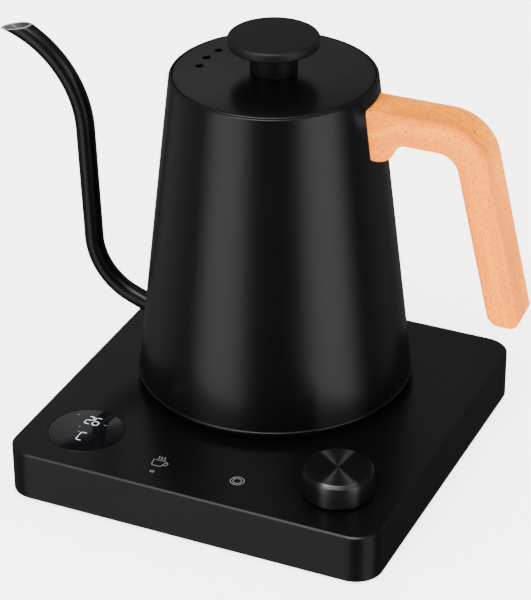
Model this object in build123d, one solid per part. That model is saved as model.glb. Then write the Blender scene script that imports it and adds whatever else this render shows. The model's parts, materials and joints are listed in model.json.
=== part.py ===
from build123d import *
import os
from math import cos, hypot, radians, sin, tan

# Electric gooseneck kettle on its square heating base, in millimetres.
# The table is z = 0 and the origin is the middle of the whole object's footprint.
# Kettle and lid pieces are drawn about the kettle's own axis, base pieces about the base's middle,
# and each group is moved to its place when it is saved; the kettle stands a little turned on its base.

# Base
base_width = 185.0
base_height = 23.8
base_corner = 12.9
base_bevel = 0.7
base_wall = 2.4
base_top_skin = 2.6
foot_height = 2.0
foot_radius = 8.0
foot_inset = 24.0
cover_skin = 2.2
cover_recess = 0.6
cover_pocket = 1.0
cover_gap = 0.4
boss_radius = 4.0
boss_inset = 12.5
kettle_offset_x = -5.55
kettle_offset_y = 22.85
kettle_turn = 4.0

# Display, touch keys and boards
lens_radius = 18.0
lens_skin = 1.2
lens_side = 28.5
lens_front = 29.8
window_length = 27.0
window_width = 19.0
module_margin = 1.0
key_cup_x = -20.8
key_ring_x = 18.2
key_front = 20.3
electrode_radius = 6.0
board_skin = 1.6
board_corner = 9.0
control_board_z = 14.0
control_board_depth = 42.0
power_board_z = 8.0
power_board_length = 96.0
power_board_depth = 48.0
standoff_radius = 3.0

# Control dial and its encoder
dial_side = 29.4
dial_front = 31.3
dial_radius = 16.4
dial_height = 12.0
dial_gap = 1.0
dial_bevel = 1.1
dial_dish = 0.25
dial_rim = 2.6
dial_wall = 3.2
push_travel = 0.5
shaft_radius = 3.0
shaft_flat = 1.5
bush_radius = 4.5
bush_rise = 4.2
nut_width = 12.0
nut_height = 2.0
encoder_width = 13.4
running_gap = 0.05
small_gap = 0.3

# Power connector between base and kettle
plug_radius = 19.0
plug_rise = 6.0
plug_flange_lip = 6.0
flange_skin = 2.4
contact_floor = 1.5
coupler_wall = 7.0
contact_inner = 7.5
contact_outer = 12.5
contact_slot = 2.5
centre_hole = 3.6
cord_radius = 3.1
gland_radius = 6.0
gland_length = 14.0
gland_x = 45.0
gland_z = 13.0

# Kettle body, a cone that narrows upwards
body_bottom_radius = 65.6
body_top_radius = 48.1
body_height = 151.8
body_wall = 0.8
shoulder_radius = 1.6
trim_height = 1.6
trim_lip = 0.85
mouth_radius = 43.5
ledge_width = 3.4
ledge_drop = 1.7
neck_depth = 7.0
rest_ring_gap = 3.0
rest_ring_width = 4.0
rest_ring_height = 0.5
lower_cover_skin = 1.8
lower_cover_height = 4.5
plate_rise = 6.0
plate_skin = 1.0
element_gap = 13.3
element_tube = 3.2
post_gap = 1.1
post_radius = 3.2
probe_gap = 1.8
probe_flange = 4.5
probe_length = 18.0
cutout_width = 8.0

# Spout, a bent tube
spout_radius = 4.6
spout_wall = 0.8
spout_low_angle = 23.5
spout_elbow_x = 92.7
spout_elbow_z = 61.7
spout_crook_x = 97.1
spout_crook_rise = 1.3
spout_tip_angle = 9.0
spout_tip_run = 47.0
spout_elbow_bend = 32.7
spout_crook_bend = 55.0
lip_run = 24.6
lip_rise = 4.6
lip_reach = 60.0
lip_slope = 12.0

# Wooden handle, cut from one board
handle_width = 21.8
handle_edge = 1.9
handle_drop = 6.1
handle_fall = 1.8
handle_arm = 15.0
handle_block_height = 25.2
handle_block_x = 58.0
handle_block_top_x = 63.0
handle_reach = 101.2
handle_lean = 12.7
handle_grip = 14.9
handle_length = 100.0
handle_outer_bend = 24.0
handle_inner_bend = 10.5
handle_block_round = 8.0
handle_block_fillet = 5.0
handle_end_inner = 7.0
handle_end_outer = 4.0
bracket_width = 10.0
bracket_height = 6.0
bracket_reach = 82.0
handle_screw_radius = 2.0

# Lid
lid_gap = 0.3
lid_skin = 1.2
lid_rise = 2.4
lid_seat = 11.6
grip_radius = 21.2
grip_skin = 4.8
grip_stem = 10.9
grip_height = 17.2
grip_round = 1.4
seal_width = 3.0
liner_skin = 0.8
liner_depth = 8.0
seal_height = 4.6
lid_screw_radius = 2.0
vent_radius = 2.0
vent_circle = 34.5
vent_middle_angle = 173.8
vent_step_angle = 15.9

# Heights that follow from the sizes above
base_top_z = foot_height + base_height
inside_top_z = base_top_z - base_top_skin
cover_z = foot_height + cover_recess
cover_top_z = cover_z + cover_skin
trim_z = base_top_z + lower_cover_height
body_z = trim_z + trim_height
body_top_z = body_z + body_height
plate_z = body_z + plate_rise - plate_skin
ledge_z = body_top_z - ledge_drop
lid_edge_z = ledge_z + lid_skin
lid_top_z = lid_edge_z + lid_rise
liner_z = ledge_z - liner_depth
grip_top_z = lid_top_z + grip_height
dial_z = base_top_z + dial_gap
dial_top_z = dial_z + dial_height
half_base = base_width / 2
handle_top_z = body_top_z - handle_drop
handle_block_z = handle_top_z - handle_block_height
handle_end_z = handle_top_z - handle_length
spout_crook_z = body_top_z + spout_crook_rise

# Places on the base's top, measured in from its sides
lens_x = lens_side - half_base
lens_y = lens_front - half_base
dial_x = half_base - dial_side
dial_y = dial_front - half_base
key_y = key_front - half_base

# Rings that stand round one another under the kettle, from the connector outwards
plug_flange = plug_radius + plug_flange_lip
coupler_radius = plug_radius + coupler_wall
element_radius = coupler_radius + element_gap + element_tube
post_circle = element_radius + element_tube + post_gap + post_radius
probe_circle = element_radius + element_tube + probe_gap + probe_flange
rest_ring_radius = post_circle + rest_ring_gap + rest_ring_width
liner_radius = mouth_radius - seal_width


def cone_radius(z):
    """Outer radius of the kettle body at a height."""
    share = (z - body_z) / body_height
    return body_bottom_radius + (body_top_radius - body_bottom_radius) * share


def disc(radius, low, high, x=0.0, y=0.0):
    """Upright cylinder between two heights."""
    return Pos(x, y, (low + high) / 2) * Cylinder(radius, high - low)


def ring(outer, inner, low, high, x=0.0, y=0.0):
    """Upright tube between two heights."""
    return disc(outer, low, high, x, y) - disc(inner, low - 1, high + 1, x, y)


def block(length, width, low, high, x=0.0, y=0.0):
    """Upright box between two heights."""
    return Pos(x, y, (low + high) / 2) * Box(length, width, high - low)


def turned(points):
    """Solid of revolution about Z from a closed outline of (radius, height) points."""
    outline = make_face(Polyline(*points, close=True))
    return revolve(Plane.XZ * outline, axis=Axis.Z)


def turned_rounded(points, corners, radius):
    """Solid of revolution whose outline is rounded at the named corners."""
    outline = make_face(Polyline(*points, close=True))
    near = [v for v in outline.vertices() if any(hypot(v.X - r, v.Y - z) < 0.001 for r, z in corners)]
    return revolve(Plane.XZ * fillet(near, radius), axis=Axis.Z)


def square_slab(width, corner, low, high):
    """Square slab with round corners, between two heights."""
    return Pos(0, 0, low) * extrude(RectangleRounded(width, width, corner), high - low)


def corners_at(inset):
    """The four places that lie the same distance in from the base's sides."""
    reach = half_base - inset
    return [(reach * sx, reach * sy) for sx in (-1, 1) for sy in (-1, 1)]


def screw(radius, head_radius, head_height, low, high, x, y):
    """Pan-head screw that points up, with its head at the bottom."""
    return disc(radius, low, high, x, y) + disc(head_radius, low - head_height, low, x, y)


def around(count, circle, start):
    """Places spaced evenly on a circle."""
    angles = [radians(start + 360 / count * i) for i in range(count)]
    return [(circle * cos(a), circle * sin(a)) for a in angles]


# ---------------------------------------------------------------- base pieces
boss_places = corners_at(boss_inset)
foot_places = corners_at(foot_inset)
screw_radius = 1.45
board_screw_radius = 1.1
board_head_radius = 2.2
board_head_height = 1.2
connector_screw_circle = plug_radius + 3.2
control_y = -half_base + base_wall + control_board_depth / 2 + 2
control_length = base_width - 2 * base_wall - 4
power_x = half_base - base_wall - 4 - power_board_depth / 2
power_y = control_y + control_board_depth / 2 + 4 + power_board_length / 2
control_posts = [(x, y) for x in (-30.0, 42.0) for y in (control_y - 13, control_y + 17)]
power_posts = [(power_x + sx * (power_board_depth / 2 - 5), power_y + sy * (power_board_length / 2 - 5))
               for sx in (-1, 1) for sy in (-1, 1)]
plug_screws = around(3, connector_screw_circle, 90)
control_top = control_board_z + board_skin
power_top = power_board_z + board_skin


def make_base_housing():
    body = square_slab(base_width, base_corner, foot_height, base_top_z)
    body = chamfer(body.edges().group_by(Axis.Z)[-1], base_bevel)
    inner_corner = base_corner - base_wall
    body -= square_slab(base_width - 2 * base_wall, inner_corner, foot_height - 1, inside_top_z)
    for x, y in boss_places:
        body += disc(boss_radius, cover_top_z, inside_top_z + 1, x, y)
        body -= disc(screw_radius + running_gap, cover_top_z - 1, cover_top_z + 10, x, y)
    for places, top in ((control_posts, control_top), (power_posts, power_top)):
        for x, y in places:
            body += disc(standoff_radius, top, inside_top_z + 1, x, y)
            body -= disc(board_screw_radius + running_gap, top - 1, top + 5, x, y)
    body -= disc(lens_radius + small_gap / 2, base_top_z - lens_skin, base_top_z + 1, lens_x, lens_y)
    body -= block(window_length, window_width, inside_top_z - 1, base_top_z, lens_x, lens_y)
    body -= disc(bush_radius + small_gap, inside_top_z - 1, base_top_z + 1, dial_x, dial_y)
    plug = (kettle_offset_x, kettle_offset_y)
    body -= disc(plug_radius + small_gap, inside_top_z - 1, base_top_z + 1, *plug)
    for x, y in plug_screws:
        body -= disc(board_screw_radius + running_gap, inside_top_z - 1, inside_top_z + 1.8,
                     plug[0] + x, plug[1] + y)
    hole = Pos(gland_x, half_base, gland_z) * Rot(90, 0, 0) * Cylinder(gland_radius + running_gap, 4 * base_wall)
    return body - hole


def make_base_cover():
    width = base_width - 2 * base_wall - 2 * cover_gap
    cover = square_slab(width, base_corner - base_wall - cover_gap, cover_z, cover_top_z)
    for x, y in boss_places:
        cover -= disc(screw_radius + small_gap, cover_z - 1, cover_top_z + 1, x, y)
    for x, y in foot_places:
        cover -= disc(foot_radius + small_gap, cover_z - 1, cover_z + cover_pocket, x, y)
    return cover


def make_rubber_feet():
    return [chamfer(disc(foot_radius, 0, cover_z + cover_pocket, x, y).edges().group_by(Axis.Z)[0], 0.5)
            for x, y in foot_places]


def make_base_screws():
    return [screw(screw_radius, 2.9, 1.5, cover_z, cover_top_z + 9, x, y) for x, y in boss_places]


def make_display_lens():
    lens = disc(lens_radius, base_top_z - lens_skin, base_top_z, lens_x, lens_y)
    return chamfer(lens.edges().group_by(Axis.Z)[-1], 0.2)


def make_display_module():
    length = window_length - 2 * module_margin
    width = window_width - 2 * module_margin
    return block(length, width, control_top, base_top_z - lens_skin - 0.1, lens_x, lens_y)


def make_touch_electrodes():
    pads = []
    for x in (key_cup_x, key_ring_x):
        stem = ring(2.6, 1.8, control_top, inside_top_z - 0.8, x, key_y)
        pads.append(stem + disc(electrode_radius, inside_top_z - 0.8, inside_top_z, x, key_y))
    return pads


def make_control_board():
    board = block(control_length, control_board_depth, control_board_z, control_top, 0, control_y)
    board = fillet(board.edges().filter_by(Axis.Z), board_corner)
    for x, y in boss_places:
        board -= disc(boss_radius + 1.0, control_board_z - 1, control_top + 1, x, y)
    for x, y in control_posts:
        board -= disc(board_screw_radius + small_gap, control_board_z - 1, control_top + 1, x, y)
    return board


def make_power_board():
    board = block(power_board_depth, power_board_length, power_board_z, power_top, power_x, power_y)
    board = fillet(board.edges().filter_by(Axis.Z), board_corner)
    for x, y in boss_places:
        board -= disc(boss_radius + 1.0, power_board_z - 1, power_top + 1, x, y)
    for x, y in power_posts:
        board -= disc(board_screw_radius + small_gap, power_board_z - 1, power_top + 1, x, y)
    return board


def make_board_parts():
    relay = block(15, 20, power_top, power_top + 11.5, power_x - 8, power_y + 26)
    transformer = block(20, 18, power_top, power_top + 12.5, power_x + 8, power_y - 12)
    capacitors = [disc(4.0, power_top, power_top + 12, power_x - 12, power_y + dy) for dy in (-22, -10)]
    terminals = [block(5, 8, power_top, power_top + 7, power_x + dx, power_y + 34) for dx in (6, 13)]
    return [relay, transformer] + capacitors + terminals


def make_board_screws():
    rows = [(p, control_board_z, control_top) for p in control_posts]
    rows += [(p, power_board_z, power_top) for p in power_posts]
    return [screw(board_screw_radius, board_head_radius, board_head_height, low, top + 4.5, *place)
            for place, low, top in rows]


def make_encoder_body():
    body = block(encoder_width, encoder_width - 1, control_top, inside_top_z - 0.2, dial_x, dial_y)
    body += disc(bush_radius, inside_top_z - 0.2, base_top_z + bush_rise, dial_x, dial_y)
    bore = shaft_radius + running_gap
    return body - disc(bore, control_top + 1.2, base_top_z + bush_rise + 1, dial_x, dial_y)


def make_encoder_nut():
    nut = Pos(dial_x, dial_y, base_top_z) * extrude(RegularPolygon(nut_width / 2, 6, major_radius=False), nut_height)
    return nut - disc(bush_radius + running_gap, base_top_z - 1, base_top_z + nut_height + 1, dial_x, dial_y)


def make_cord_gland():
    """Rubber bush through the rear wall, with a flange inside it."""
    wall_inner = half_base - base_wall
    turn = Rot(-90, 0, 0)
    bush = Pos(gland_x, half_base - gland_length / 2, gland_z) * turn * Cylinder(gland_radius, gland_length)
    flange = Pos(gland_x, wall_inner - 1, gland_z) * turn * Cylinder(gland_radius + 2, 2)
    bore = Pos(gland_x, half_base - gland_length / 2, gland_z) * turn * Cylinder(cord_radius, gland_length + 2)
    return bush + flange - bore


def make_base_connector():
    plug_top = base_top_z + plug_rise
    plug = disc(plug_radius, inside_top_z - flange_skin, plug_top)
    plug = chamfer(plug.edges().group_by(Axis.Z)[-1], 1.2)
    plug += disc(plug_flange, inside_top_z - flange_skin, inside_top_z)
    for inner in (contact_inner, contact_outer):
        plug -= ring(inner + contact_slot, inner, base_top_z + contact_floor, plug_top + 1)
    plug -= disc(centre_hole, base_top_z + 1.2, plug_top + 1)
    for x, y in plug_screws:
        plug -= disc(board_screw_radius + small_gap, inside_top_z - 3, inside_top_z + 1, x, y)
    return plug


def make_base_contacts():
    low = base_top_z + contact_floor
    high = base_top_z + plug_rise - 1.0
    rings = [ring(r + contact_slot - running_gap, r + contact_slot - 0.6, low, high)
             for r in (contact_inner, contact_outer)]
    rings.append(ring(centre_hole - running_gap, centre_hole - 0.6, base_top_z + 1.2, high))
    return rings


def make_connector_screws():
    low = inside_top_z - flange_skin
    return [screw(board_screw_radius, board_head_radius, board_head_height, low, inside_top_z + 1.7, x, y)
            for x, y in plug_screws]


# ---------------------------------------------------------------- dial pieces
shaft_low_z = control_top + 3.6
shaft_top_z = dial_top_z - 2.2
flat_low_z = base_top_z + bush_rise + 0.4


def shaft_shape(radius, low, high, flat_from, flat):
    """Round shaft with one flat on its upper part."""
    shaft = disc(radius, low, high, dial_x, dial_y)
    cut = block(2 * radius, 4 * radius, flat_from, high + 1, dial_x + flat + radius, dial_y)
    return shaft - cut


def make_switch_plunger():
    return disc(shaft_radius - running_gap, control_top + 2.0, shaft_low_z, dial_x, dial_y)


def make_encoder_shaft():
    return shaft_shape(shaft_radius, shaft_low_z, shaft_top_z, flat_low_z, shaft_flat)


def make_dial_knob():
    knob = disc(dial_radius, dial_z, dial_top_z, dial_x, dial_y)
    knob = chamfer(knob.edges().group_by(Axis.Z)[-1], dial_bevel)
    knob -= disc(dial_radius - dial_rim, dial_top_z - dial_dish, dial_top_z + 1, dial_x, dial_y)
    hub_z = base_top_z + bush_rise + push_travel + small_gap
    knob -= disc(dial_radius - dial_wall, dial_z - 1, hub_z + 1.5, dial_x, dial_y)
    knob += disc(shaft_radius + 3.2, hub_z, dial_top_z - 1.5, dial_x, dial_y)
    return knob - shaft_shape(shaft_radius + running_gap, hub_z - 1, shaft_top_z + running_gap,
                              hub_z - 1, shaft_flat + running_gap)


# ---------------------------------------------------------------- kettle pieces
coupler_z = base_top_z + 1.2
coupler_top_z = plate_z - 0.5
recess_radius = plug_radius + 0.8
recess_top_z = base_top_z + plug_rise + 0.6
lower_radius = cone_radius(body_z) - 0.7
post_places = around(3, post_circle, 30)
lower_top_z = base_top_z + rest_ring_height + lower_cover_skin


def make_kettle_connector():
    body = disc(coupler_radius, coupler_z, coupler_top_z)
    return body - disc(recess_radius, coupler_z - 1, recess_top_z)


def make_kettle_contacts():
    low = base_top_z + 2.6
    blades = [ring(r + 1.3, r + 0.6, low, recess_top_z) for r in (contact_inner, contact_outer)]
    return blades + [disc(centre_hole - 1.0, low, recess_top_z)]


def make_kettle_body():
    """Cone with a rounded shoulder, an inset ledge for the lid and a turned-down neck."""
    top = (cone_radius(body_top_z), body_top_z)
    ledge_outer = mouth_radius + ledge_width
    neck_outer = mouth_radius + body_wall
    under = ledge_z - body_wall
    points = [(cone_radius(body_z), body_z), top, (ledge_outer, body_top_z), (ledge_outer, ledge_z),
              (mouth_radius, ledge_z), (mouth_radius, ledge_z - neck_depth),
              (neck_outer, ledge_z - neck_depth), (neck_outer, under),
              (cone_radius(under) - body_wall, under), (cone_radius(body_z) - body_wall, body_z)]
    outline = make_face(Polyline(*points, close=True))
    near = [v for v in outline.vertices() if hypot(v.X - top[0], v.Y - top[1]) < 0.001]
    shell = revolve(Plane.XZ * fillet(near, min(shoulder_radius, 0.9 * (top[0] - ledge_outer))), axis=Axis.Z)
    return shell - spout_rod(spout_radius - spout_wall)


def make_trim_ring():
    """Bead that closes the joint between the steel body and the plastic lower cover."""
    outer = cone_radius(body_z) + trim_lip
    inner = cone_radius(body_z) - 2.4
    points = [(inner, trim_z), (outer, trim_z), (outer, body_z), (inner, body_z)]
    return turned_rounded(points, [(outer, trim_z), (outer, body_z)], 0.45 * trim_height)


def make_lower_cover():
    foot_low = base_top_z + rest_ring_height
    points = [(coupler_radius + small_gap, foot_low), (lower_radius - 2.2, foot_low),
              (lower_radius, trim_z), (lower_radius - lower_cover_skin, trim_z),
              (lower_radius - 3.6, lower_top_z), (coupler_radius + small_gap, lower_top_z)]
    cover = turned(points)
    cover += ring(rest_ring_radius, rest_ring_radius - rest_ring_width, base_top_z, foot_low + 0.1)
    for x, y in post_places:
        cover -= disc(screw_radius + small_gap, foot_low - 1, lower_top_z + 1, x, y)
    return cover


def make_cover_screws():
    return [screw(screw_radius, 2.7, 0.45, base_top_z + rest_ring_height, lower_top_z + 5, x, y)
            for x, y in post_places]


def make_plate_posts():
    return [ring(post_radius, screw_radius + running_gap, lower_top_z, plate_z, x, y) for x, y in post_places]


def make_heater_plate():
    plate = disc(cone_radius(plate_z + plate_skin) - body_wall - running_gap, plate_z, plate_z + plate_skin)
    return plate - disc(2.6, plate_z - 1, plate_z + 2, 0, probe_circle)


def make_heating_element():
    """Sheathed element bent into a C under the plate."""
    centre_z = plate_z - element_tube - 0.1
    places = [Vector(element_radius * cos(radians(t)), element_radius * sin(radians(t)), centre_z)
              for t in (-70, 90, 250)]
    path = ThreePointArc(*places)
    return sweep(Plane(path @ 0, z_dir=path % 0) * Circle(element_tube), path=path)


def make_thermal_cutout():
    y = -coupler_radius - 2 - cutout_width / 2
    case = block(14, cutout_width, plate_z - 5.5, plate_z - 0.1, 0, y)
    tabs = [block(1, 5, plate_z - 8, plate_z - 5.5, dx, y) for dx in (-4.5, 4.5)]
    return case + tabs[0] + tabs[1]


def make_temperature_probe():
    low = plate_z - 3.6
    probe = disc(2.5, low, plate_z + plate_skin + probe_length, 0, probe_circle)
    probe = fillet(probe.edges().group_by(Axis.Z)[-1], 2.0)
    return probe + disc(probe_flange, plate_z + plate_skin, plate_z + plate_skin + 1.5, 0, probe_circle)


def make_probe_nut():
    nut = Pos(0, probe_circle, plate_z - 2.6) * extrude(RegularPolygon(probe_flange - 0.5, 6, major_radius=False), 2.6)
    return nut - disc(2.5 + running_gap, plate_z - 4, plate_z + 1, 0, probe_circle)


def spout_path():
    low_x = body_bottom_radius - 10
    low_z = spout_elbow_z - (spout_elbow_x - low_x) * tan(radians(spout_low_angle))
    tip_x = spout_crook_x + spout_tip_run * cos(radians(spout_tip_angle))
    tip_z = spout_crook_z + spout_tip_run * sin(radians(spout_tip_angle))
    points = [(-low_x, 0, low_z), (-spout_elbow_x, 0, spout_elbow_z),
              (-spout_crook_x, 0, spout_crook_z), (-tip_x, 0, tip_z)]
    return FilletPolyline(*points, radius=[spout_elbow_bend, spout_crook_bend])


def spout_rod(radius):
    path = spout_path()
    return sweep(Plane(path @ 0, z_dir=path % 0) * Circle(radius), path=path)


def make_spout_tube():
    """Bent tube, coped to the body at its foot and cut aslant at its mouth."""
    tube = spout_rod(spout_radius) - spout_rod(spout_radius - spout_wall)
    tube -= body_core(running_gap)
    lip = Pos(-spout_crook_x - lip_run, 0, spout_crook_z + lip_rise) * Rot(0, -lip_slope, 0)
    return tube - lip * Pos(-lip_reach / 2, 0, lip_reach / 2) * Box(2 * lip_reach, lip_reach, lip_reach)


def handle_top(x):
    """Height of the arm's upper side, which falls a little away from the body."""
    return handle_top_z - tan(radians(handle_fall)) * (x - body_top_radius)


def handle_outline():
    """Side view of the wooden handle: block at the body, arm, bend and grip."""
    lean = tan(radians(handle_lean))
    outer_z = handle_top(handle_reach)
    inner_x = handle_reach - handle_grip / cos(radians(handle_lean)) + lean * handle_arm
    inner_z = handle_top(inner_x) - handle_arm
    low_outer = handle_reach + lean * (outer_z - handle_end_z)
    low_inner = inner_x + lean * (inner_z - handle_end_z)
    block_top_z = handle_top(handle_block_top_x) - handle_arm
    start = body_top_radius / 2
    bends = {(handle_reach, outer_z): handle_outer_bend, (inner_x, inner_z): handle_inner_bend,
             (handle_block_top_x, block_top_z): handle_block_fillet,
             (handle_block_x, handle_block_z): handle_block_round,
             (low_inner, handle_end_z): handle_end_inner, (low_outer, handle_end_z): handle_end_outer}
    points = [(start, handle_top(start)), (handle_reach, outer_z), (low_outer, handle_end_z),
              (low_inner, handle_end_z), (inner_x, inner_z), (handle_block_top_x, block_top_z),
              (handle_block_x, handle_block_z), (start, handle_block_z)]
    outline = make_face(Polyline(*points, close=True))
    for (x, z), radius in bends.items():
        near = [v for v in outline.vertices() if hypot(v.X - x, v.Y - z) < 0.001]
        outline = fillet(near, radius)
    return outline


handle_screws_at = [(x, handle_top(x) - handle_arm) for x in (bracket_reach - 17.0, bracket_reach - 6.0)]
bracket_z = handle_top_z - 11.0
screw_sink = 2.6


def make_wooden_handle():
    face = Plane.XZ * handle_outline()
    wood = Pos(0, handle_width / 2, 0) * extrude(face, handle_width)
    long_edges = wood.edges().filter_by(lambda e: abs(abs(e.center().Y) - handle_width / 2) < 0.001)
    wood = fillet(long_edges.filter_by(lambda e: e.center().X > body_top_radius / 2 + 0.1), handle_edge)
    wood -= body_core(running_gap)
    slot_end = bracket_reach + small_gap
    wood -= block(slot_end, bracket_width + 2 * small_gap, bracket_z - small_gap,
                  bracket_z + bracket_height + small_gap, slot_end / 2)
    for x, low in handle_screws_at:
        wood -= disc(handle_screw_radius + small_gap, low - 1, bracket_z, x)
        wood -= disc(2 * handle_screw_radius + small_gap, low - 1, low + screw_sink, x)
    return wood


def body_core(gap):
    """Solid cone the size of the kettle body plus a gap."""
    core = Cone(cone_radius(body_z) + gap, cone_radius(body_top_z) + gap, body_height)
    return Pos(0, 0, body_z + body_height / 2) * core


def make_handle_bracket():
    bracket = block(bracket_reach, bracket_width, bracket_z, bracket_z + bracket_height, bracket_reach / 2)
    bracket -= body_core(running_gap)
    for x, low in handle_screws_at:
        bracket -= disc(handle_screw_radius + running_gap, bracket_z - 1, bracket_z + bracket_height + 1, x)
    return bracket


def make_handle_screws():
    head = 2 * handle_screw_radius
    return [disc(handle_screw_radius, low + 2.0, bracket_z + bracket_height - 0.5, x)
            + disc(head, low + 0.6, low + screw_sink, x) for x, low in handle_screws_at]


# ---------------------------------------------------------------- lid pieces
lid_radius = mouth_radius + ledge_width - lid_gap


def vent_places():
    angles = [radians(vent_middle_angle + vent_step_angle * i) for i in (-1, 0, 1)]
    return [(vent_circle * cos(a), vent_circle * sin(a)) for a in angles]


def make_lid_cover():
    """Shallow dome with a flat seat for the grip and a straight rim."""
    middle_r = (lid_seat + lid_radius) / 2
    middle_z = lid_edge_z + 0.72 * lid_rise
    under = lid_skin
    top_line = Line((lid_screw_radius + 0.2, lid_top_z), (lid_seat, lid_top_z))
    dome = ThreePointArc((lid_seat, lid_top_z), (middle_r, middle_z), (lid_radius, lid_edge_z))
    rim = Polyline((lid_radius, lid_edge_z), (lid_radius, ledge_z), (lid_radius - under, ledge_z))
    inside = ThreePointArc((lid_radius - under, ledge_z), (middle_r, middle_z - under),
                           (lid_seat, lid_top_z - under))
    close = Polyline((lid_seat, lid_top_z - under), (lid_screw_radius + 0.2, lid_top_z - under),
                     (lid_screw_radius + 0.2, lid_top_z))
    cover = revolve(Plane.XZ * make_face([top_line, dome, rim, inside, close]), axis=Axis.Z)
    cover = fillet(cover.edges().group_by(SortBy.LENGTH)[-1].sort_by(Axis.Z)[-1:], 0.4)
    for x, y in vent_places():
        cover -= disc(vent_radius, ledge_z - 1, lid_top_z + 1, x, y)
    return cover


def make_lid_liner():
    """Steel cup under the cover, with a foot that keeps the seal and a post for the screw."""
    floor = liner_z
    liner = disc(liner_radius + 1.5, floor, floor + 1.3) + disc(liner_radius, floor, ledge_z + 0.2)
    liner -= disc(liner_radius - liner_skin, floor + liner_skin, ledge_z + 1)
    liner += disc(6.0, floor, lid_top_z - lid_skin)
    liner -= disc(lid_screw_radius + 0.2, floor - 1, lid_top_z)
    for x, y in vent_places():
        liner -= disc(vent_radius + 0.5, floor - 1, floor + 2, x, y)
    return liner


def make_lid_seal():
    low = liner_z + 1.3
    inner = liner_radius + running_gap
    outer = mouth_radius - small_gap
    points = [(inner, low), (outer - 1.2, low), (outer, low + 0.9), (outer - 1.2, low + 1.8),
              (outer - 1.2, low + 2.6), (outer, low + 3.5), (outer - 1.2, low + seal_height),
              (inner, low + seal_height)]
    return turned(points)


def make_lid_grip():
    """Round stem and a wide flat cap with softened edges."""
    cap_z = grip_top_z - grip_skin
    points = [(0, lid_top_z), (grip_stem, lid_top_z), (grip_stem, cap_z), (grip_radius, cap_z),
              (grip_radius, grip_top_z), (0, grip_top_z)]
    grip = turned_rounded(points, [(grip_radius, cap_z), (grip_radius, grip_top_z)], grip_round)
    return grip - disc(lid_screw_radius + running_gap, lid_top_z - 1, lid_top_z + 10)


def make_lid_screw():
    return screw(lid_screw_radius, 4.0, 2.2, liner_z, lid_top_z + 9, 0, 0)


# ---------------------------------------------------------------- places and files
base_pieces = {
    "base_housing": make_base_housing(),
    "base_cover": make_base_cover(),
    "base_screws": make_base_screws(),
    "rubber_feet": make_rubber_feet(),
    "display_lens": make_display_lens(),
    "display_module": make_display_module(),
    "touch_electrodes": make_touch_electrodes(),
    "control_board": make_control_board(),
    "power_board": make_power_board(),
    "board_parts": make_board_parts(),
    "board_screws": make_board_screws(),
    "encoder_body": make_encoder_body(),
    "encoder_nut": make_encoder_nut(),
    "cord_gland": make_cord_gland(),
    "switch_plunger": make_switch_plunger(),
    "encoder_shaft": make_encoder_shaft(),
    "dial_knob": make_dial_knob(),
}
plug_pieces = {
    "base_connector": make_base_connector(),
    "base_contacts": make_base_contacts(),
    "connector_screws": make_connector_screws(),
}
kettle_pieces = {
    "kettle_connector": make_kettle_connector(),
    "kettle_contacts": make_kettle_contacts(),
    "kettle_body": make_kettle_body(),
    "trim_ring": make_trim_ring(),
    "lower_cover": make_lower_cover(),
    "cover_screws": make_cover_screws(),
    "plate_posts": make_plate_posts(),
    "heater_plate": make_heater_plate(),
    "heating_element": make_heating_element(),
    "thermal_cutout": make_thermal_cutout(),
    "temperature_probe": make_temperature_probe(),
    "probe_nut": make_probe_nut(),
    "spout_tube": make_spout_tube(),
    "handle_bracket": make_handle_bracket(),
    "handle_screws": make_handle_screws(),
    "wooden_handle": make_wooden_handle(),
    "lid_cover": make_lid_cover(),
    "lid_liner": make_lid_liner(),
    "lid_seal": make_lid_seal(),
    "lid_grip": make_lid_grip(),
    "lid_screw": make_lid_screw(),
}

turn = Rot(0, 0, kettle_turn)
left = kettle_offset_x + (turn * kettle_pieces["spout_tube"]).bounding_box().min.X
right = kettle_offset_x + (turn * kettle_pieces["wooden_handle"]).bounding_box().max.X
base_x = -(min(left, -half_base) + max(right, half_base)) / 2
to_base = Pos(base_x, 0, 0)
to_plug = Pos(base_x + kettle_offset_x, kettle_offset_y, 0)
to_kettle = to_plug * turn

os.makedirs("parts", exist_ok=True)
for place, pieces in ((to_base, base_pieces), (to_plug, plug_pieces), (to_kettle, kettle_pieces)):
    for name, shape in pieces.items():
        solids = shape if isinstance(shape, list) else shape.solids()
        moved = [place * solid for one in solids for solid in one.solids()]
        whole = moved[0] if len(moved) == 1 else Compound(children=moved)
        export_step(whole, f"parts/{name}.step")

print("base middle x", round(base_x, 4))
print("kettle axis x, y", round(base_x + kettle_offset_x, 4), kettle_offset_y)
print("dial axis x, y", round(base_x + dial_x, 4), dial_y)
print("lid seam height", ledge_z, "base top", base_top_z, "heater plate", plate_z)
print("spout from x", round(left - kettle_offset_x, 2), "handle to x", round(right - kettle_offset_x, 2))
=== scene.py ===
import json
import math
import bmesh
import bpy
import numpy as np
from mathutils import Matrix, Vector


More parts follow.
